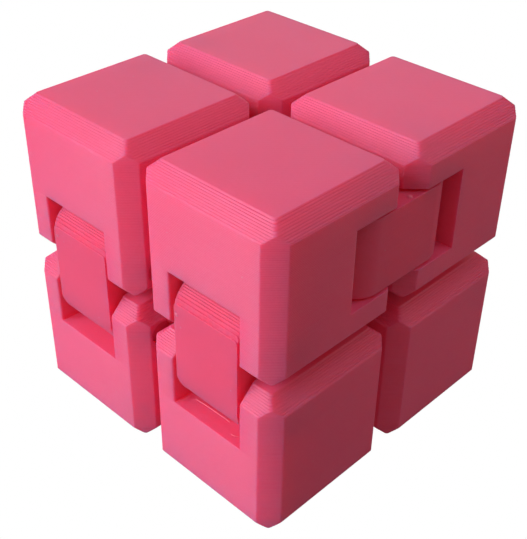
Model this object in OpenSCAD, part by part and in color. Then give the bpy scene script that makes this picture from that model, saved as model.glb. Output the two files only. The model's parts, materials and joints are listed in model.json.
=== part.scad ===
// Folding fidget cube: eight chamfered cubelets in a closed loop. Each cubelet
// is joined to its two neighbours by a round-ended link that turns on a pin in
// both of them, so the cube opens and closes again without end.
// The origin is under the middle of the closed cube, on the surface that it
// stands on. +Z is up, -Y is the front and +X is the right.

/* [Cubelets] */
// Length of one cubelet along each edge
cubelet = 20; // [18:0.5:30]
// Gap between neighbouring cubelets when the cube is closed
cubelet_gap = 1.4; // [1:0.1:3]
// Leg of the 45 degree chamfer along every cubelet edge
chamfer = 2; // [1.2:0.1:3]

/* [Hinge links] */
// Distance from a cubelet's two hinge faces to the middle of its pin
pivot_inset = 3.8; // [3:0.1:4.6]
// How far a link lies below the cubelets' outer faces
link_recess = 0.2; // [0.1:0.1:0.8]
// Width of a link, measured along its pins
link_width = 9.6; // [7:0.1:12]

/* [Pockets] */
// Gap between each side of a link and the wall of its pocket
pocket_side_gap = 0.45; // [0.3:0.05:0.8]
// Gap between a link's round end and the back of its pocket
pocket_end_gap = 0.9; // [0.4:0.1:1.5]

/* [Hinge pins] */
// Diameter of a hinge pin
pin_d = 3; // [2:0.1:3.6]
// Radial gap between a pin and the bore of the link that turns on it
pin_running_gap = 0.08; // [0.05:0.01:0.1]
// Radial gap between a pin and the cubelet walls that grip it
pin_grip_gap = 0.02; // [0:0.01:0.05]
// Depth of the blind socket that holds the pin's far end
pin_socket_depth = 3; // [2:0.1:3.5]
// How far a pin ends below the face that it is pushed in through
pin_end_recess = 0.5; // [0.2:0.1:1.5]

/* [Hidden] */
$fn = 64;
half = cubelet / 2;
pitch = cubelet + cubelet_gap;
lower_level = half;
upper_level = half + pitch;
pivot_span = 2 * pivot_inset + cubelet_gap;
link_radius = pivot_inset - link_recess;
pocket_width = link_width + 2 * pocket_side_gap;
pocket_depth = pivot_inset + link_radius + pocket_end_gap;
pin_far_end = pocket_width / 2 + pin_socket_depth;
pin_near_end = half - pin_end_recess;
// Distance from the cube's middle to the pins along its outer faces
outer_pivot = pitch / 2 + half - pivot_inset;
// Anything that cuts through a face runs this far past it
past = 1;

PINK = [0.93, 0.37, 0.51];
LINK_PINK = [0.90, 0.32, 0.47];
PIN_PINK = [0.84, 0.27, 0.42];

// The four columns of the cube: name, side along X, side along Y
COLUMNS = [
    ["front_right", 1, -1],
    ["front_left", -1, -1],
    ["back_right", 1, 1],
    ["back_left", -1, 1]
];
// The two sides of the turn hinges: name, side along X
TURN_SIDES = [["right", 1], ["left", -1]];
// The two book hinges under the cube: name, side along Y
BOOK_SIDES = [["front", -1], ["back", 1]];
// The upper cubelet of this column holds the pivot that the loop is opened at
OPEN_COLUMN = "back_right";

// Turns the front right column's piece into the same piece of another column
module in_column(column) {
    mirror([column[1] > 0 ? 0 : 1, 0, 0])
        mirror([0, column[2] < 0 ? 0 : 1, 0])
            children();
}

// Moves a cubelet's piece from the origin to the front right column
module at_level(level) {
    translate([pitch / 2, -pitch / 2, level]) children();
}

// Hinge frames: the pin lies on X and goes in from -X, and the pocket is open
// towards -Y and -Z. Each one puts that frame on an edge of a cubelet.
module on_upper_fold_edge() {
    translate([0, pivot_inset - half, pivot_inset - half]) children();
}

module on_lower_fold_edge() {
    mirror([0, 0, 1]) on_upper_fold_edge() children();
}

module on_turn_edge() {
    translate([half - pivot_inset, half - pivot_inset, 0])
        rotate([90, -90, 0])
            children();
}

module on_book_edge() {
    translate([pivot_inset - half, 0, pivot_inset - half])
        rotate([0, 0, -90])
            children();
}

// A round bar along X from x1 to x2
module bar(x1, x2, radius) {
    translate([x1, 0, 0])
        rotate([0, 90, 0])
            cylinder(h = x2 - x1, r = radius);
}

// A square prism along Z with its four long edges chamfered
module chamfered_prism() {
    flat = half - chamfer;
    linear_extrude(height = cubelet, center = true)
        polygon([
            [half, flat], [flat, half], [-flat, half], [-half, flat],
            [-half, -flat], [-flat, -half], [flat, -half], [half, -flat]
        ]);
}

module chamfered_block() {
    intersection() {
        chamfered_prism();
        rotate([90, 0, 0]) chamfered_prism();
        rotate([0, 90, 0]) chamfered_prism();
    }
}

// What a hinge takes out of a cubelet: the pocket and the bore for its pin
module hinge_cut() {
    pocket_side = pocket_depth + past;
    translate([-pocket_width / 2, -pivot_inset - past, -pivot_inset - past])
        cube([pocket_width, pocket_side, pocket_side]);
    bar(-half - past, pin_far_end, pin_d / 2 + pin_grip_gap);
}

module upper_cubelet() {
    color(PINK)
        difference() {
            chamfered_block();
            on_upper_fold_edge() hinge_cut();
            on_turn_edge() hinge_cut();
        }
}

module lower_cubelet() {
    color(PINK)
        difference() {
            chamfered_block();
            on_lower_fold_edge() hinge_cut();
            on_book_edge() hinge_cut();
        }
}

// A link with its pins along X and its length along Z, centred between them
module link() {
    bore_radius = pin_d / 2 + pin_running_gap;
    color(LINK_PINK)
        difference() {
            union() {
                cube([link_width, 2 * link_radius, pivot_span], center = true);
                for (end = [-1, 1])
                    translate([0, 0, end * pivot_span / 2])
                        bar(-link_width / 2, link_width / 2, link_radius);
            }
            for (end = [-1, 1])
                translate([0, 0, end * pivot_span / 2])
                    bar(-link_width / 2 - past, link_width / 2 + past, bore_radius);
        }
}

module fold_link() {
    translate([pitch / 2, -outer_pivot, lower_level + pitch / 2]) link();
}

module turn_link() {
    translate([outer_pivot, 0, upper_level])
        rotate([90, -90, 0])
            link();
}

module book_link() {
    translate([0, -pitch / 2, pivot_inset])
        rotate([90, 0, 90])
            link();
}

// A pin gripped by both walls of its pocket
module pin() {
    color(PIN_PINK) bar(-pin_near_end, pin_far_end, pin_d / 2);
}

// The open pivot's pin ends flush with its link, clear of the pocket walls
module open_pin() {
    color(PIN_PINK) bar(-link_width / 2, link_width / 2, pin_d / 2);
}

module turn_pin(column) {
    if (column[0] == OPEN_COLUMN) open_pin();
    else pin();
}

for (c = COLUMNS) {
    upper = str("upper_", c[0]);
    lower = str("lower_", c[0]);
    in_column(c) at_level(upper_level) upper_cubelet();
    in_column(c) at_level(lower_level) lower_cubelet();
    in_column(c) fold_link();
    in_column(c) at_level(upper_level) on_upper_fold_edge() pin();
    in_column(c) at_level(lower_level) on_lower_fold_edge() pin();
    in_column(c) at_level(upper_level) on_turn_edge() turn_pin(c);
    in_column(c) at_level(lower_level) on_book_edge() pin();
}
for (s = TURN_SIDES)
    mirror([s[1] > 0 ? 0 : 1, 0, 0]) turn_link();
for (s = BOOK_SIDES)
    mirror([0, s[1] < 0 ? 0 : 1, 0]) book_link();
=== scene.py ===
# %% [markdown]
# # A folding fidget cube, printed in pink PLA
# Eight chamfered cubelets hang together in one closed loop on eight round-ended links, and every link
# turns on two pins. The CAD model fixes where each piece sits and how it turns. This lesson gives each
# piece the surface that a filament printer leaves: walls built of stacked beads, stair-stepped slopes
# and softly rounded corners. The frame is loaded first, because every later size is measured from it.

# %% Load the frame
import json
import math
import random

import bmesh
import bpy
from mathutils import Matrix, Vector


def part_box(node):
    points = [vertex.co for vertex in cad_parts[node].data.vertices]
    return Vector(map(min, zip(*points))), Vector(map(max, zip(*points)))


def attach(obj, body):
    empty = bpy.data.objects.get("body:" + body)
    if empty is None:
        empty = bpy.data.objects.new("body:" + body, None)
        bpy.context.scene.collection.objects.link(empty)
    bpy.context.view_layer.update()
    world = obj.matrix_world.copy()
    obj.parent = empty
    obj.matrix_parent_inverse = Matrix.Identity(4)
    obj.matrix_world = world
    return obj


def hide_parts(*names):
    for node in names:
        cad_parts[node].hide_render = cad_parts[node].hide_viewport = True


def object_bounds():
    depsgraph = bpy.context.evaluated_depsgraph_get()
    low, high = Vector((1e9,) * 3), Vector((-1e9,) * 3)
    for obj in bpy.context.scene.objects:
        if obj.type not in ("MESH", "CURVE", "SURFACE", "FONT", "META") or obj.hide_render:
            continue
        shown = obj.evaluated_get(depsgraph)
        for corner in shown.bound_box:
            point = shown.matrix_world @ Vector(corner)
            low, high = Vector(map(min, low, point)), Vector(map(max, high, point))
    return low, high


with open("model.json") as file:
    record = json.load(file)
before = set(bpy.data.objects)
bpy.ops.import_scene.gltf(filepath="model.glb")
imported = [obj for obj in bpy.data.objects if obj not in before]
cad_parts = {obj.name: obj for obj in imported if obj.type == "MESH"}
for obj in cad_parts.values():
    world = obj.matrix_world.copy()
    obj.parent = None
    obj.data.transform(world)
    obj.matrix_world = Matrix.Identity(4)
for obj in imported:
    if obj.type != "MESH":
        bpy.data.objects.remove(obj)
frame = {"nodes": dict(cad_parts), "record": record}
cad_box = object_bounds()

# %% [markdown]
# ## Sizes
# A cubelet is a cube with a 45 degree chamfer on every edge. Its size, the chamfer and the pockets are
# read off the CAD mesh: the chamfer from the corners of a top face, the pocket from rays shot at its
# walls from beside the pin. That way the printed skin follows the design when the design changes.

# %% Units and axes
MM = 0.001
X, Y, Z = 0, 1, 2
AXES = (Vector((1, 0, 0)), Vector((0, 1, 0)), Vector((0, 0, 1)))

COLUMNS = ["front_right", "front_left", "back_right", "back_left"]
UPPER = ["upper_" + column for column in COLUMNS]
LOWER = ["lower_" + column for column in COLUMNS]
FOLD_LINKS = [column + "_fold_link" for column in COLUMNS]
TURN_LINKS = ["right_turn_link", "left_turn_link"]
BOOK_LINKS = ["front_book_link", "back_book_link"]
PINS = sorted(name for name in frame["nodes"] if name.endswith("_pin"))
BODIES = frame["record"]["behaviour"]["bodies"]
BODY_OF = {node: body for body, nodes in BODIES.items() for node in nodes}


def middle_of(node):
    """The middle of a node's box."""
    low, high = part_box(node)
    return (low + high) / 2


def size_of(node):
    """How long a node's box is along X, Y and Z."""
    low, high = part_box(node)
    return high - low


# %% Measure a cubelet and its pocket
SAMPLE = "lower_front_right"
# Corners this close in height belong to the same face
SAME_HEIGHT = 0.01 * MM
HALF = size_of(SAMPLE)[Z] / 2
sample_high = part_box(SAMPLE)[1]
corners = [vertex.co for vertex in frame["nodes"][SAMPLE].data.vertices]
top_corners = [corner for corner in corners if abs(corner[Z] - sample_high[Z]) < SAME_HEIGHT]
CHAMFER = sample_high[X] - max(corner[X] for corner in top_corners)

PIN_RADIUS = size_of(SAMPLE + "_fold_pin")[Y] / 2
pin_middle = middle_of(SAMPLE + "_fold_pin")
# The rays start in the pocket's middle plane, just under the pin
UNDER_PIN = 1.5 * PIN_RADIUS
beside_pin = Vector((middle_of(SAMPLE)[X], pin_middle[Y], pin_middle[Z] - UNDER_PIN))


def wall_distance(direction):
    """How far the pocket's wall is from the point beside the pin."""
    where = frame["nodes"][SAMPLE].ray_cast(beside_pin, direction)[1]
    return (where - beside_pin).length


POCKET_HALF_WIDTH = wall_distance(AXES[X])
PIVOT_INSET = HALF - abs(pin_middle[Y] - middle_of(SAMPLE)[Y])
POCKET_DEPTH = PIVOT_INSET + wall_distance(AXES[Y])
print("cubelet %.2f mm, chamfer %.2f mm" % (2 * HALF / MM, CHAMFER / MM))
print("pocket %.2f wide, %.2f deep, pin radius %.2f" % (
    2 * POCKET_HALF_WIDTH / MM, POCKET_DEPTH / MM, PIN_RADIUS / MM))

# %% [markdown]
# ## Beads and layers
# A filament printer lays a bead about 0.2 mm high along each outline, then the next one on top. Seen
# from the side a wall is a stack of rounded beads with a fine groove between them, and a slope is a
# staircase. A bump map could fake the grooves on a wall but not the stairs, whose edges catch the light
# and show in the silhouette, so every layer is modelled: six rings a layer, from groove to groove.
# A bead on a slope stands out past the shorter one beside it, so on that side it keeps a round nose.
# A little jitter moves each layer in or out, as the belts and the filament do on a real machine.

# %% Layer sizes
LAYER = 0.2 * MM
# How deep the groove between two beads is, on a wall and round a corner
GROOVE = 0.012 * MM
CORNER_GROOVE = 0.022 * MM
# How far a stair's nose is rounded back, on a cubelet's slope and on a link's round end
NOSE = 0.034 * MM
LINK_NOSE = 0.050 * MM
# How far a bead on a slope leans towards the slope: 0 is a square stair, 1 is no stair at all
LEAN = 0.62
LAYER_JITTER = 0.006 * MM
# The radius of the rounded corners and of a pocket's lip
CORNER = 0.45 * MM
LIP = 0.28 * MM
# How far a cutter reaches past the face that it cuts through
PAST = 1.0 * MM
# Heights in one layer, as shares of it, and the share of the groove that is cut there
BEAD = [(0.04, 1.0), (0.16, 0.4), (0.36, 0.0), (0.64, 0.0), (0.84, 0.4), (0.96, 1.0)]


def arc(centre, radius, first, last, steps):
    """Points on an arc, in degrees, both ends included."""
    angles = [math.radians(first + (last - first) * i / steps) for i in range(steps + 1)]
    return [(centre[0] + radius * math.cos(a), centre[1] + radius * math.sin(a)) for a in angles]


def quarter_turns(points):
    """Repeats one corner's points round all four corners."""
    ring = []
    for turn in range(4):
        for u, v in points:
            for _ in range(turn):
                u, v = -v, u
            ring.append((u, v))
    return ring


def bead_heights(low, high):
    """Every ring's height, layer number and groove share, from one layer boundary to another."""
    count = round((high - low) / LAYER)
    heights = [(low, 0, 1.0)]
    for layer in range(count):
        heights += [(low + (layer + share) * LAYER, layer, groove) for share, groove in BEAD]
    heights.append((high, count - 1, 1.0))
    return heights


def layer_middle(bottom, layer):
    """The height of a layer's middle, counting layers up from the bottom."""
    return bottom + (layer + 0.5) * LAYER


def is_nose(height, middle):
    """Whether a ring is on the outer side of its layer, where a slope's next layer is shorter."""
    return (height - middle) * middle > 0


def layer_jitter(seed, count):
    """How far each layer is in or out of place, the same on every run."""
    draw = random.Random(seed)
    return [draw.uniform(-LAYER_JITTER, LAYER_JITTER) for _ in range(count)]


# %% Turn rings into a solid
def solid_from_rings(name, rings, centre, axes):
    """Joins rings of (u, v) points at their heights into one closed mesh. axes gives u, v and height."""
    bm = bmesh.new()
    along_u, along_v, along_h = (AXES[a] for a in axes)
    loops = []
    for height, ring in rings:
        places = [centre + u * along_u + v * along_v + height * along_h for u, v in ring]
        loops.append([bm.verts.new(place) for place in places])
    count = len(loops[0])
    for lower, upper in zip(loops, loops[1:]):
        for i in range(count):
            j = (i + 1) % count
            bm.faces.new((lower[i], lower[j], upper[j], upper[i]))
    bm.faces.new(loops[0][::-1])
    bm.faces.new(loops[-1])
    bmesh.ops.recalc_face_normals(bm, faces=bm.faces)
    mesh = bpy.data.meshes.new(name)
    bm.to_mesh(mesh)
    bm.free()
    piece = bpy.data.objects.new(name, mesh)
    bpy.context.scene.collection.objects.link(piece)
    return piece


def cut_away(piece, cutters):
    """Takes the cutters out of the piece, for good, and removes them."""
    for cutter in cutters:
        step = piece.modifiers.new("cut", "BOOLEAN")
        step.operation = "DIFFERENCE"
        step.solver = "MANIFOLD"
        step.object = cutter
    graph = bpy.context.evaluated_depsgraph_get()
    cut_mesh = bpy.data.meshes.new_from_object(piece.evaluated_get(graph), depsgraph=graph)
    piece.modifiers.clear()
    whole_mesh = piece.data
    piece.data = cut_mesh
    bpy.data.meshes.remove(whole_mesh)
    for cutter in cutters:
        mesh = cutter.data
        bpy.data.objects.remove(cutter)
        bpy.data.meshes.remove(mesh)
    piece.data.name = piece.name


# %% Shade round and flat
# Faces shorter than this belong to a bead or a curve
SMOOTH_BELOW = 0.75 * MM
# Edges that bend more than this stay sharp
SHARP_ABOVE = math.radians(35)


def shade(piece):
    """Shades small faces round, as on a corner or a round end, and keeps the long flats flat."""
    mesh = piece.data
    for polygon in mesh.polygons:
        places = [mesh.vertices[i].co for i in polygon.vertices]
        spans = [max(p[a] for p in places) - min(p[a] for p in places) for a in (X, Y, Z)]
        polygon.use_smooth = max(spans) < SMOOTH_BELOW
    mesh.set_sharp_from_angle(angle=SHARP_ABOVE)


# %% [markdown]
# ## The cubelet's outline
# Layer by layer the outline is a square with its corners cut at 45 degrees. Where the top and bottom
# chamfers run, each layer is one stair smaller than its neighbour. The corners are rounded as the
# nozzle rounds them. Pulling the outline in by the corner radius, then going round each point left,
# gives all the corners with the same number of points, whatever the layer's size is. The head slows
# down at a corner and the bead gets fatter there, so the groove is deeper round the corners.

# %% Cubelet outline
# Faces round each 45 degree bend, and round a pocket's lip and its inner corners
CORNER_STEPS = 3


def stair_inset(height):
    """How far the 45 degree chamfers pull a layer in, at this height from the cubelet's middle."""
    return max(0.0, CHAMFER - (HALF - abs(height)))


def cubelet_outline(inset, pull_in, groove):
    """One layer of a cubelet. cut_line is where its 45 degree corner cut crosses: u + v = cut_line."""
    half = HALF - inset - pull_in
    cut_line = 2 * HALF - CHAMFER - math.sqrt(2) * pull_in
    inner = half - CORNER
    cut_from = min(inner, cut_line - math.sqrt(2) * CORNER - inner)
    low = (inner, cut_from)
    high = (cut_from, inner)
    round_to = CORNER - groove * CORNER_GROOVE
    low_corner = arc(low, round_to, 0, 45, CORNER_STEPS)
    high_corner = arc(high, round_to, 45, 90, CORNER_STEPS)
    return quarter_turns(low_corner + high_corner)


def printed_block(name, jitter):
    """A cubelet before its pockets are cut, layer by layer."""
    rings = []
    for height, layer, groove in bead_heights(-HALF, HALF):
        middle = layer_middle(-HALF, layer)
        inset = (1 - LEAN) * stair_inset(middle) + LEAN * stair_inset(height)
        depth = NOSE if inset > 0 and is_nose(height, middle) else GROOVE
        pull_in = groove * depth + LAYER_JITTER + jitter[layer]
        rings.append((height, cubelet_outline(inset, pull_in, groove)))
    return solid_from_rings(name, rings, middle_of(name), (X, Y, Z))


# %% [markdown]
# ## The pockets
# Each cubelet has two pockets, and each pocket holds one end of a link. A fold or book pocket opens
# through a side and through the top or bottom; a turn pocket takes a corner out at mid-height. They are
# cut with solids that are built of the same layers, so the pocket's walls have beads too. The cutter
# flares where it meets the outside, which leaves a softly rounded lip and not a knife edge.

# %% Pocket outlines
# The lip's curve stops this many degrees short of the face, where it meets the face at a slight angle
LIP_SHORT = 15


def side_pocket_outline(face, grow):
    """A slot open towards +v, in (u, v). face is how far out the cubelet's wall is in this layer."""
    half_width = POCKET_HALF_WIDTH + grow
    back = HALF - POCKET_DEPTH - grow
    lip = (half_width + LIP, face - LIP)
    inner = (half_width - CORNER, back + CORNER)
    right = [(lip[0] - LIP * math.sin(math.radians(LIP_SHORT)), HALF + PAST)]
    right += arc(lip, LIP, 90 + LIP_SHORT, 180, CORNER_STEPS)
    right += arc(inner, CORNER, 0, -90, CORNER_STEPS)
    return right + [(-u, v) for u, v in reversed(right)]


def corner_pocket_outline(face, grow):
    """A square corner taken out towards +u and +v."""
    back = HALF - POCKET_DEPTH - grow
    lip = (face - LIP, back - LIP)
    inner = (back + CORNER, back + CORNER)
    side = [(HALF + PAST, lip[1] + LIP * math.cos(math.radians(LIP_SHORT)))]
    side += arc(lip, LIP, 90 - LIP_SHORT, 90, CORNER_STEPS)
    corner = arc(inner, CORNER, 270, 180, CORNER_STEPS)
    return side + corner + [(v, u) for u, v in reversed(side)] + [(HALF + PAST, HALF + PAST)]


# %% Pocket cutters
def facing(outline, u_sign, v_sign):
    """Mirrors an outline so that it opens the way that its pocket does."""
    return [(u * u_sign, v * v_sign) for u, v in outline]


def side_pocket_cutter(cubelet, pin, jitter):
    """Cuts the pocket of a fold or book hinge: open to one side, and to the top or the bottom."""
    pin_axis = X if pin.endswith("fold_pin") else Y
    open_axis = Y if pin_axis == X else X
    offset = middle_of(pin) - middle_of(cubelet)
    side, end = (1 if offset[a] > 0 else -1 for a in (open_axis, Z))
    layers_deep = round(POCKET_DEPTH / LAYER)
    rings = []
    for height, layer, groove in bead_heights(HALF - layers_deep * LAYER, HALF):
        # The cutter counts its layers outwards, and the cubelet from its bottom up
        body_layer = len(jitter) - layers_deep + layer if end > 0 else layers_deep - 1 - layer
        grow = groove * GROOVE + jitter[body_layer]
        face = HALF - stair_inset(height) - grow
        rings.append((end * height, facing(side_pocket_outline(face, grow), 1, side)))
    rings.append((end * (HALF + PAST), rings[-1][1]))
    return solid_from_rings("pocket", rings, middle_of(cubelet), (pin_axis, open_axis, Z))


def corner_pocket_cutter(cubelet, pin, jitter):
    """Cuts the pocket of a turn hinge out of a corner, over the middle layers."""
    offset = middle_of(pin) - middle_of(cubelet)
    signs = [1 if offset[a] > 0 else -1 for a in (X, Y)]
    reach = round(POCKET_HALF_WIDTH / LAYER) * LAYER
    layers_below = round((HALF - reach) / LAYER)
    rings = []
    for height, layer, groove in bead_heights(-reach, reach):
        grow = groove * GROOVE + jitter[layers_below + layer]
        rings.append((height, facing(corner_pocket_outline(HALF - grow, grow), *signs)))
    return solid_from_rings("pocket", rings, middle_of(cubelet), (X, Y, Z))


# %% [markdown]
# ## Pin bores
# The pins go in from a face that meets a neighbour, through one wall of the pocket, the link and into a
# blind socket in the other wall. The bore is a plain round hole, a hair wider than the pin where the
# cubelet grips it and a little wider still in the link, which has to turn on it.

# %% Bore cutter
GRIP_GAP = 0.02 * MM
RUNNING_GAP = 0.08 * MM
BORE_STEPS = 48
# The pin at the opened pivot is shorter, so its bore takes its length from the same pin at the front
LONG_PIN = {"upper_back_right_turn_pin": "upper_front_right_turn_pin"}


def pin_axis_of(pin):
    """A pin lies along its longest side."""
    size = size_of(pin)
    return max((X, Y, Z), key=lambda a: size[a])


def across(axis):
    """The two axes that a pin or a dome doesn't lie along."""
    return [a for a in (X, Y, Z) if a != axis]


def circle(radius, steps):
    """A ring of points that doesn't repeat its first one."""
    return arc((0, 0), radius, 0, 360 - 360 / steps, steps - 1)


def bore_cutter(pin, gap, through):
    """Cuts a pin's bore: right through a link, or in from the nearer face of its cubelet."""
    axis = pin_axis_of(pin)
    low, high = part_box(LONG_PIN.get(pin, pin))
    ends = [low[axis], high[axis]]
    if through:
        ends = [ends[0] - 2 * HALF, ends[1] + 2 * HALF]
    else:
        cubelet = pin.rsplit("_", 2)[0]
        faces = [corner[axis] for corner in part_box(cubelet)]
        near = 0 if ends[0] - faces[0] < faces[1] - ends[1] else 1
        ends[near] = faces[near] + (PAST if near else -PAST)
    ring = circle(PIN_RADIUS + gap, BORE_STEPS)
    centre = middle_of(pin)
    centre[axis] = 0
    return solid_from_rings("bore", [(end, ring) for end in ends], centre, (*across(axis), axis))


# %% Print the eight cubelets
FIRST_CUBELET_SEED = 100
layer_count = round(2 * HALF / LAYER)
printed = {}
for number, cubelet in enumerate(UPPER + LOWER):
    jitter = layer_jitter(FIRST_CUBELET_SEED + number, layer_count)
    block = printed_block(cubelet, jitter)
    fold_pin = cubelet + "_fold_pin"
    other_pin = cubelet + ("_turn_pin" if cubelet in UPPER else "_book_pin")
    cut_other_pocket = corner_pocket_cutter if cubelet in UPPER else side_pocket_cutter
    cut_away(block, [
        side_pocket_cutter(cubelet, fold_pin, jitter),
        cut_other_pocket(cubelet, other_pin, jitter),
        bore_cutter(fold_pin, GRIP_GAP, through=False),
        bore_cutter(other_pin, GRIP_GAP, through=False),
    ])
    shade(block)
    printed[cubelet] = block
    print(cubelet, "faces:", len(block.data.polygons))

# %% [markdown]
# ## The links
# A link is a bar with two round ends. The fold and book links were printed lying on their flat face, so
# their round ends are stairs: shallow and close together over the end, wide and long towards the flat.
# The turn links were printed on edge, so their ends are smooth and only their beads run round them.
# Both are stacks of outlines again. Only the outline differs: a rectangle that grows, or a slot shape.

# %% Link outlines
# Faces round a turn link's half-round end
END_STEPS = 40


def rectangle_outline(half_u, half_v, radius):
    """A rectangle with rounded corners, one quarter after another."""
    corner = (half_u - radius, half_v - radius)
    first = arc(corner, radius, 0, 90, 2 * CORNER_STEPS)
    left = [(-u, v) for u, v in reversed(first)]
    right = [(u, -v) for u, v in reversed(first)]
    return first + left + [(-u, -v) for u, v in first] + right


def slot_outline(half_span, radius):
    """A bar with round ends, its length along v."""
    end = arc((0, half_span), radius, 0, 180, END_STEPS)
    return end + [(-u, -v) for u, v in end]


def lying_link(name, length_axis, width_axis, stack_axis, seed):
    """A link printed on its flat face: each layer is a rectangle as long as the round ends allow."""
    size = size_of(name)
    radius = size[stack_axis] / 2
    half_span = size[length_axis] / 2 - radius
    half_width = size[width_axis] / 2
    jitter = layer_jitter(seed, round(2 * radius / LAYER))
    rings = []
    for height, layer, groove in bead_heights(-radius, radius):
        pull_in = LAYER_JITTER + jitter[layer]
        middle = layer_middle(-radius, layer)
        end = math.sqrt(radius ** 2 - middle ** 2)
        nose = LINK_NOSE if is_nose(height, middle) else GROOVE
        across_bar = half_width - groove * GROOVE - pull_in
        along_bar = half_span + end - groove * nose - pull_in
        rings.append((height, rectangle_outline(across_bar, along_bar, CORNER)))
    return solid_from_rings(name, rings, middle_of(name), (width_axis, length_axis, stack_axis))


def standing_link(name, seed):
    """A link printed on edge: every layer is the same slot shape."""
    size = size_of(name)
    radius = size[X] / 2
    half_span = size[Y] / 2 - radius
    half_width = size[Z] / 2
    jitter = layer_jitter(seed, round(2 * half_width / LAYER))
    rings = []
    for height, layer, groove in bead_heights(-half_width, half_width):
        pull_in = groove * GROOVE + LAYER_JITTER + jitter[layer]
        rings.append((height, slot_outline(half_span, radius - pull_in)))
    return solid_from_rings(name, rings, middle_of(name), (X, Y, Z))


def pins_in(link):
    """The pins whose middle lies inside this link."""
    low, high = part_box(link)
    return [pin for pin in PINS if all(low[a] < middle_of(pin)[a] < high[a] for a in (X, Y, Z))]


# %% Print the eight links
FIRST_LINK_SEED = 200
for number, link in enumerate(FOLD_LINKS + BOOK_LINKS + TURN_LINKS):
    seed = FIRST_LINK_SEED + number
    if link in TURN_LINKS:
        bar = standing_link(link, seed)
    elif link in FOLD_LINKS:
        bar = lying_link(link, Z, X, Y, seed)
    else:
        bar = lying_link(link, X, Y, Z, seed)
    held = pins_in(link)
    cut_away(bar, [bore_cutter(pin, RUNNING_GAP, through=True) for pin in held])
    shade(bar)
    printed[link] = bar
    print(link, "turns on", held, "faces:", len(bar.data.polygons))

# %% [markdown]
# ## The pins
# Each pin is a short rod snipped from thick filament, pushed in until it is just below the face. The cut
# rounds its rim a little. It is a stack of circles whose first and last few are smaller.

# %% Make the sixteen pins
# The radius of the rounded rim, and the faces from its end to its side
RIM = 0.3 * MM
RIM_STEPS = 4
for pin in PINS:
    axis = pin_axis_of(pin)
    half_length = size_of(pin)[axis] / 2
    rim = arc((half_length - RIM, PIN_RADIUS - RIM), RIM, 90, 0, RIM_STEPS)
    profile = [(-height, radius) for height, radius in reversed(rim)] + rim
    rings = [(height, circle(radius, BORE_STEPS)) for height, radius in profile]
    rod = solid_from_rings(pin, rings, middle_of(pin), (*across(axis), axis))
    shade(rod)
    printed[pin] = rod
print("pins:", len(PINS))

# %% [markdown]
# ## Pink PLA
# PLA filament is a slightly milky plastic with a satin skin. Its colour comes from pigment all the way
# through, so a little light goes in and comes out again close by, and red light travels furthest: narrow
# gaps and grooves glow red instead of going black. That is subsurface scattering, and a plain coloured
# shader can't do it. Fine grains of pigment and dust show as specks. The material is one Principled
# shader. Noise varies its colour very slightly, finer noise breaks up the gloss, and a small bump gives
# the skin between the modelled beads its texture.

# %% Colour and node helpers
def linear(hex_colour):
    """Turns an sRGB hex colour into the linear numbers that a shader wants."""
    channels = [int(hex_colour[i:i + 2], 16) / 255 for i in (1, 3, 5)]
    shares = [c / 12.92 if c <= 0.04045 else ((c + 0.055) / 1.055) ** 2.4 for c in channels]
    return (*shares, 1.0)


def add_node(tree, kind, links=None, **settings):
    """Adds one node. Settings name its properties or its inputs; links gives inputs fed by others."""
    node = tree.nodes.new(kind)
    for name, value in settings.items():
        if hasattr(node, name):
            setattr(node, name, value)
        else:
            node.inputs[name.replace("_", " ")].default_value = value
    for socket, source in (links or {}).items():
        tree.links.new(source, node.inputs[socket])
    return node


# %% Sizes of the plastic's patterns
PLA_IOR = 1.46
CLOUD_WIDTH = 6 * MM
GRAIN_WIDTH = 0.25 * MM
# Clouds times grain comes to about a quarter, so a quarter more puts it near the ramp's middle
PATTERN_LIFT = 0.25
RAMP_DARK = 0.3
RAMP_LIGHT = 0.75
# How much the grain takes off and adds to the roughness
SMOOTHEST = -0.06
ROUGHEST = 0.08
# Specks of pigment or dust: how far apart, and how far from its middle one starts and ends to fade
SPECK_SPACING = 2.6 * MM
SPECK_CORE = 0.05 * MM
SPECK_EDGE = 0.13 * MM
SPECK_COLOUR = "#EE7E9C"
# The nozzle lays its infill lines side by side, this far apart, at 45 degrees to the walls
ROAD_WIDTH = 0.42 * MM
ROAD_ANGLE = math.radians(45)
ROAD_WOBBLE = 0.6
# They fade in between these two shares of the normal that point along infill_axis
FLAT_FROM = 0.97
FLAT_TO = 0.999
ROAD_BUMP = 0.006 * MM
SKIN_BUMP = 0.010 * MM
BUMP_STRENGTH = 0.5
# How far red, green and blue light travel inside the plastic, in mm
GLOW_DISTANCE = (4.0, 0.5, 0.6)


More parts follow.
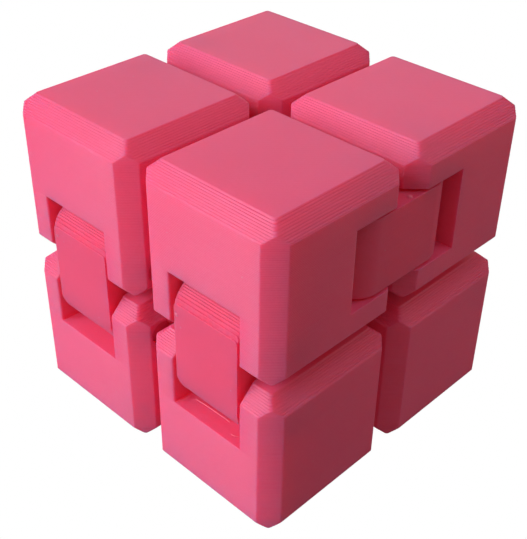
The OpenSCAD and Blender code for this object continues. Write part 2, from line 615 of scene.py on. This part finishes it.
# %% The printed plastic
def printed_pla(name, hex_light, hex_dark, roughness, infill_axis, glow):
    """Pink PLA as it comes off the printer, between two colours; the links' colours also hold painted
    shade. infill_axis is the side that shows flat, filled layers.
    """
    material = bpy.data.materials.new(name)
    material.use_nodes = True
    tree = material.node_tree
    tree.nodes.clear()
    place = add_node(tree, "ShaderNodeTexCoord").outputs["Object"]
    cloudy = add_node(tree, "ShaderNodeTexNoise", {"Vector": place}, Scale=1 / CLOUD_WIDTH, Detail=3.0)
    grain = add_node(tree, "ShaderNodeTexNoise", {"Vector": place}, Scale=1 / GRAIN_WIDTH, Detail=2.0)
    mixed = add_node(tree, "ShaderNodeMath", {0: cloudy.outputs["Fac"], 1: grain.outputs["Fac"]},
                     operation="MULTIPLY_ADD")
    mixed.inputs[2].default_value = PATTERN_LIFT
    colour = add_node(tree, "ShaderNodeValToRGB", {"Fac": mixed.outputs[0]})
    dark_end, light_end = colour.color_ramp.elements
    dark_end.position = RAMP_DARK
    dark_end.color = linear(hex_dark)
    light_end.position = RAMP_LIGHT
    light_end.color = linear(hex_light)

    # A Voronoi cell's middle is one speck; most middles lie inside the plastic and never show
    cells = add_node(tree, "ShaderNodeTexVoronoi", {"Vector": place}, Scale=1 / SPECK_SPACING)
    is_speck = add_node(tree, "ShaderNodeMapRange", {"Value": cells.outputs["Distance"]},
                        From_Min=SPECK_CORE / SPECK_SPACING, From_Max=SPECK_EDGE / SPECK_SPACING,
                        To_Min=1.0, To_Max=0.0)
    speckled = add_node(tree, "ShaderNodeMix", {"Factor": is_speck.outputs[0]}, data_type="RGBA",
                        B=linear(SPECK_COLOUR))
    tree.links.new(colour.outputs["Color"], speckled.inputs["A"])

    # Infill lines show only where the surface faces along infill_axis. A wave repeats every pi / 10
    normal = add_node(tree, "ShaderNodeNewGeometry").outputs["Normal"]
    facing_axis = add_node(tree, "ShaderNodeSeparateXYZ", {0: normal}).outputs[infill_axis]
    flatness = add_node(tree, "ShaderNodeMath", {0: facing_axis}, operation="ABSOLUTE").outputs[0]
    filled = add_node(tree, "ShaderNodeMapRange", {"Value": flatness},
                      From_Min=FLAT_FROM, From_Max=FLAT_TO)
    turned = add_node(tree, "ShaderNodeMapping", {"Vector": place})
    turned.inputs["Rotation"].default_value[infill_axis] = ROAD_ANGLE
    roads = add_node(tree, "ShaderNodeTexWave", {"Vector": turned.outputs["Vector"]},
                     Scale=math.pi / (10 * ROAD_WIDTH), Distortion=ROAD_WOBBLE,
                     bands_direction="Y" if infill_axis == X else "X")
    infill = add_node(tree, "ShaderNodeMath", {0: roads.outputs["Fac"], 1: filled.outputs[0]},
                      operation="MULTIPLY")
    skin = add_node(tree, "ShaderNodeBump", {"Height": grain.outputs["Fac"]},
                    Distance=SKIN_BUMP, Strength=BUMP_STRENGTH)
    ridged = add_node(tree, "ShaderNodeBump",
                      {"Height": infill.outputs[0], "Normal": skin.outputs["Normal"]},
                      Distance=ROAD_BUMP, Strength=BUMP_STRENGTH)
    gloss = add_node(tree, "ShaderNodeMapRange", {"Value": grain.outputs["Fac"]},
                     To_Min=roughness + SMOOTHEST, To_Max=roughness + ROUGHEST)
    plastic = add_node(tree, "ShaderNodeBsdfPrincipled", {
        "Base Color": speckled.outputs["Result"],
        "Roughness": gloss.outputs[0],
        "Normal": ridged.outputs["Normal"],
    }, IOR=PLA_IOR, Subsurface_Weight=glow, Subsurface_Radius=GLOW_DISTANCE, Subsurface_Scale=1.0 * MM)
    add_node(tree, "ShaderNodeOutputMaterial", {"Surface": plastic.outputs["BSDF"]})
    print("material", name, "has", len(tree.nodes), "nodes")
    return material


CUBELET_PLA = printed_pla("cubelet_pla_printed", "#FA6492", "#F65E8C", 0.40, Z, glow=1.0)
# The links' colours are a little darker and redder than the cubelets': painted shade, for links that sit
# back in their pockets
FOLD_LINK_SHADED_PLA = printed_pla("link_pla_painted_shade_lying", "#FA5B86", "#F65680", 0.46, Y, glow=1.0)
FLAT_LINK_SHADED_PLA = printed_pla("link_pla_painted_shade_level", "#FA5B86", "#F65680", 0.46, Z, glow=1.0)
PIN_PLA = printed_pla("pin_pla_rod", "#F0557E", "#E94E77", 0.34, X, glow=0.6)
BLEMISH_PLA = printed_pla("pla_nubs_and_strings", "#F5799C", "#F17396", 0.40, Z, glow=0.0)

# %% Give each piece its plastic and its body, and hide its CAD part
for name, piece in printed.items():
    if name in FOLD_LINKS:
        plastic = FOLD_LINK_SHADED_PLA
    elif name in TURN_LINKS + BOOK_LINKS:
        plastic = FLAT_LINK_SHADED_PLA
    elif name in PINS:
        plastic = PIN_PLA
    else:
        plastic = CUBELET_PLA
    piece.data.materials.clear()
    piece.data.materials.append(plastic)
    piece.name = "printed_" + name
    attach(piece, BODY_OF[name])
    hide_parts(name)
print("printed pieces:", len(printed))

# %% [markdown]
# ## Nubs and strings
# Where the nozzle stops it leaves a small nub, and where it crosses a gap it can draw a thin string. They
# are real plastic and would show as bumps under a fingertip, so they are modelled: a nub is a low dome,
# and a string is a thin round curve. There are only a few, on the links and in a pocket.

# %% Nubs
NUB_STEPS = 16
# How tall a nub is, as a share of its radius: a drop that stands up, or one that has sunk flat
TALL = 0.8
FLAT = 0.35
# From the base, which is sunk into the surface, up to the top of the dome
NUB_TILTS = [math.radians(angle) for angle in (-80, -55, -30, 0, 25, 50, 75)]


def finish_blemish(piece, node):
    """Gives a nub or string its plastic, and the body of the piece that it is on."""
    piece.data.materials.append(BLEMISH_PLA)
    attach(piece, BODY_OF[node])


def nub(name, node, where, radius, height_share, along):
    """A low dome on a node's surface. along is the axis that it stands on, with its base sunk in."""
    rings = []
    for tilt in NUB_TILTS:
        height = height_share * radius * math.sin(tilt)
        rings.append((height, circle(radius * math.cos(tilt), NUB_STEPS)))
    dome = solid_from_rings(name, rings, where, (*across(along), along))
    dome.data.polygons.foreach_set("use_smooth", [True] * len(dome.data.polygons))
    finish_blemish(dome, node)


# The turn link's nub: how far in from the outer face, how far back from the middle, and its radius
NUB_IN = 0.6 * MM
NUB_BACK = 0.55 * MM
NUB_RADIUS = 0.28 * MM
link_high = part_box("right_turn_link")[1]
on_link = Vector((link_high[X] - NUB_IN, NUB_BACK, link_high[Z]))
nub("nub_on_turn_link", "right_turn_link", on_link, NUB_RADIUS, TALL, Z)

# Column, then mm sideways and up from the middle of the link's outer face, then the nub's radius in mm
FOLD_LINK_NUBS = [
    ("front_right", -4.4, 3.9, 0.26),
    ("front_right", -3.8, 2.5, 0.12),
    ("front_right", 3.9, -1.6, 0.10),
    ("front_left", -4.2, 4.1, 0.22),
    ("front_left", 2.6, -4.4, 0.10),
]
for number, (column, sideways, upwards, radius) in enumerate(FOLD_LINK_NUBS):
    link = column + "_fold_link"
    on_face = middle_of(link) + Vector((sideways, 0, upwards)) * MM
    on_face[Y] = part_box(link)[0][Y]
    nub("nub_on_fold_link_%d" % number, link, on_face, radius * MM, FLAT, Y)
print("nubs:", 1 + len(FOLD_LINK_NUBS))

# %% Strings
STRING_RADIUS = 0.055 * MM


def string(name, node, points):
    """A thin thread of plastic along these points."""
    curve = bpy.data.curves.new(name, "CURVE")
    curve.dimensions = "3D"
    curve.bevel_depth = STRING_RADIUS
    curve.bevel_resolution = 2
    curve.use_fill_caps = True
    curve.resolution_u = 8
    spline = curve.splines.new("NURBS")
    spline.points.add(len(points) - 1)
    spline.order_u = 4
    spline.use_endpoint_u = True
    for point, place in zip(spline.points, points):
        point.co = (*place, 1.0)
    thread = bpy.data.objects.new(name, curve)
    bpy.context.scene.collection.objects.link(thread)
    finish_blemish(thread, node)


low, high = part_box(SAMPLE)
pocket_floor = high[Z] - round(POCKET_DEPTH / LAYER) * LAYER + STRING_RADIUS
string_start = Vector((middle_of(SAMPLE)[X], low[Y], pocket_floor))


def in_pocket(places):
    """Turns places in mm, from the middle of the pocket floor's outer edge, into points."""
    return [string_start + Vector(place) * MM for place in places]


string("string_across_pocket", SAMPLE, in_pocket([
    (-3.9, 2.1, 0.0), (-2.0, 2.2, 0.05), (0.2, 2.3, 0.0), (1.6, 2.2, 0.05)]))
string("string_curl", SAMPLE, in_pocket([
    (3.1, 1.0, 0.0), (3.5, 0.8, 0.25), (4.0, 1.1, 0.2), (4.3, 1.5, 0.0)]))
print("strings lie at z = %.2f mm" % (pocket_floor / MM))

# %% [markdown]
# ## Floor and light
# The cube is shown as a cut-out on white. The floor is a plain white sheet that glows evenly, so that it
# stays plain white and takes no shadow. It lies well below, so that the cube can fold open downwards and
# can be looked at from underneath. The light is soft: a large panel in front and to the left, dimmer ones
# above, on the right and behind, and a warm sky that fills the shadows. The sky itself looks white.

# %% Floor
# How far below the origin the floor lies, and half its width, in metres
FLOOR_DROP = 0.5
FLOOR_HALF = 3.0
bm = bmesh.new()
bmesh.ops.create_grid(bm, x_segments=2, y_segments=2, size=FLOOR_HALF)
bmesh.ops.translate(bm, verts=bm.verts, vec=(0, 0, -FLOOR_DROP))
floor_mesh = bpy.data.meshes.new("floor")
bm.to_mesh(floor_mesh)
bm.free()
floor = bpy.data.objects.new("floor", floor_mesh)
bpy.context.scene.collection.objects.link(floor)
paper = bpy.data.materials.new("white_paper")
paper.use_nodes = True
paper.node_tree.nodes.clear()
paper_glow = add_node(paper.node_tree, "ShaderNodeEmission", Color=(1, 1, 1, 1), Strength=1.0)
add_node(paper.node_tree, "ShaderNodeOutputMaterial", {"Surface": paper_glow.outputs[0]})
floor_mesh.materials.append(paper)
for kind in ("diffuse", "glossy", "transmission", "shadow"):
    setattr(floor, "visible_" + kind, False)
print("floor at z = %.0f mm" % (-FLOOR_DROP / MM))

# %% Lights
cube_middle = (cad_box[0] + cad_box[1]) / 2


def soft_panel(name, direction, distance, size, colour, watts):
    """A square panel of light that looks at the cube's middle from this direction."""
    data = bpy.data.lights.new(name, "AREA")
    data.shape = "SQUARE"
    data.size = size
    data.color = colour
    data.energy = watts
    panel = bpy.data.objects.new(name, data)
    towards = Vector(direction).normalized()
    panel.location = cube_middle + distance * towards
    panel.rotation_mode = "QUATERNION"
    panel.rotation_quaternion = towards.to_track_quat("Z", "Y")
    bpy.context.scene.collection.objects.link(panel)


# Each one's direction from the cube, distance and size in metres, colour and watts
soft_panel("front_panel", (-0.32, -0.80, 0.40), 0.60, 0.50, (0.97, 1.0, 1.0), 4.05)
soft_panel("top_panel", (0.22, 0.05, 0.97), 0.60, 0.40, (1.0, 0.93, 0.97), 0.62)
soft_panel("right_panel", (0.75, 0.62, 0.50), 0.15, 0.08, (1.0, 0.68, 0.54), 0.024)
soft_panel("back_panel", (-0.60, 0.65, 0.22), 0.80, 0.60, (1.0, 0.95, 0.95), 0.75)

# %% Sky
SKY_FILL = (1.0, 0.76, 0.64, 1.0)
SKY_STRENGTH = 0.18
sky = bpy.data.worlds.new("white_sky")
sky.use_nodes = True
sky_tree = sky.node_tree
sky_tree.nodes.clear()
fill = add_node(sky_tree, "ShaderNodeBackground", Color=SKY_FILL, Strength=SKY_STRENGTH)
white = add_node(sky_tree, "ShaderNodeBackground", Color=(1, 1, 1, 1), Strength=1.0)
seen = add_node(sky_tree, "ShaderNodeLightPath").outputs["Is Camera Ray"]
either = add_node(sky_tree, "ShaderNodeMixShader", {0: seen, 1: fill.outputs[0], 2: white.outputs[0]})
add_node(sky_tree, "ShaderNodeOutputWorld", {"Surface": either.outputs[0]})
scene = bpy.context.scene
scene.world = sky
scene.view_settings.view_transform = "Standard"
# Light has to bounce many times in the narrow gaps to bring out their deep red
scene.cycles.diffuse_bounces = 10
print("lights:", [light.name for light in bpy.data.lights])

# %% [markdown]
# ## Camera
# The cube is looked at from the front right and above, so that the fold links show on the left and a
# turn link on the right. The camera is near, so the far edges draw in a little. It is rolled by about
# a degree, as a hand-held camera is.

# %% Camera
CAMERA_AZIMUTH = math.radians(43.86)
CAMERA_ELEVATION = math.radians(34.93)
CAMERA_DISTANCE = 93.3 * MM
CAMERA_ROLL = math.radians(0.96)
# The sensor and the lens are in mm
SENSOR_WIDTH = 36.0
LENS = 65.99
# Nothing nearer or further than this shows, in metres
NEAREST = 0.005
FURTHEST = 10.0
# The point that the middle of the view looks at
aim = Vector((17.75, -19.15, 35.52)) * MM
back = Vector((
    math.sin(CAMERA_AZIMUTH) * math.cos(CAMERA_ELEVATION),
    -math.cos(CAMERA_AZIMUTH) * math.cos(CAMERA_ELEVATION),
    math.sin(CAMERA_ELEVATION),
))
camera_data = bpy.data.cameras.new("camera")
camera_data.sensor_width = SENSOR_WIDTH
camera_data.lens = LENS
camera_data.clip_start = NEAREST
camera_data.clip_end = FURTHEST
camera = bpy.data.objects.new("camera", camera_data)
bpy.context.scene.collection.objects.link(camera)
level = back.to_track_quat("Z", "Y").to_matrix().to_4x4()
camera.matrix_world = (
    Matrix.Translation(aim + CAMERA_DISTANCE * back) @ level @ Matrix.Rotation(CAMERA_ROLL, 4, "Z"))
bpy.context.scene.camera = camera
print("camera at", [round(c / MM, 1) for c in camera.location])

# %% [markdown]
# ## The CAD box
# The CAD model's box is printed, in mm. The visual model has to stay inside the CAD model's box.

# %% Print the CAD box
bpy.context.view_layer.update()
print("CAD box", [round(c / MM, 2) for corner in cad_box for c in corner])
